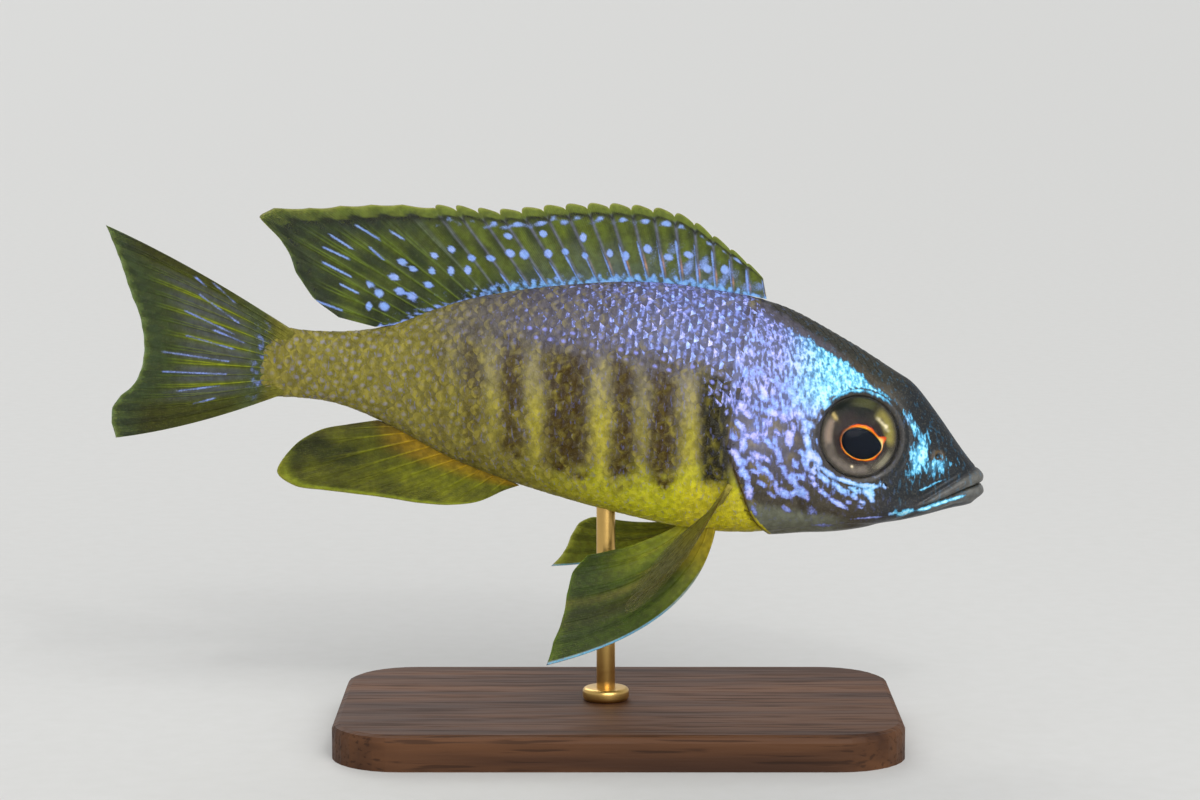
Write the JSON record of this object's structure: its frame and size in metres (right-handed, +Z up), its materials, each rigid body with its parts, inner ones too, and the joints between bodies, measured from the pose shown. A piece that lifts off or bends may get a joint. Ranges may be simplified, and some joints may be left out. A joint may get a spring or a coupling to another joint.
{
  "type": "cichlid fish model on display stand",
  "caption": "Life-size still model of a Placidochromis electra swimming head down, fins and eyes as separate pieces, on a flat base with a thin rod.",
  "frame": {"origin": "centre of the bounding box's underside, on the surface that the stand's base rests on", "axes": "+X towards the fish's head, +Y to the fish's left, +Z up"},
  "size_m": [0.1494, 0.058, 0.0914],
  "materials": {
    "head_skin": "moist skin, dark brown with a blue and lilac sheen",
    "body_skin": "scaled, golden yellow below and lilac above with dark bars",
    "fin_web": "thin olive web over rays",
    "eye": "clear wet dome over a dark iris with a thin gold ring",
    "base_wood": "satin dark wood",
    "rod_brass": "brushed"
  },
  "bodies": {
    "root": {"head": "head_skin", "lower_jaw": "head_skin", "eye_right": "eye", "eye_left": "eye", "torso": "body_skin", "tail": "body_skin", "dorsal_fin": "fin_web", "tail_fin": "fin_web", "anal_fin": "fin_web", "pectoral_fin_right": "fin_web", "pectoral_fin_left": "fin_web", "pelvic_fin_right": "fin_web", "pelvic_fin_left": "fin_web", "stand_base": "base_wood", "stand_rod": "rod_brass"}
  },
  "joints": []
}
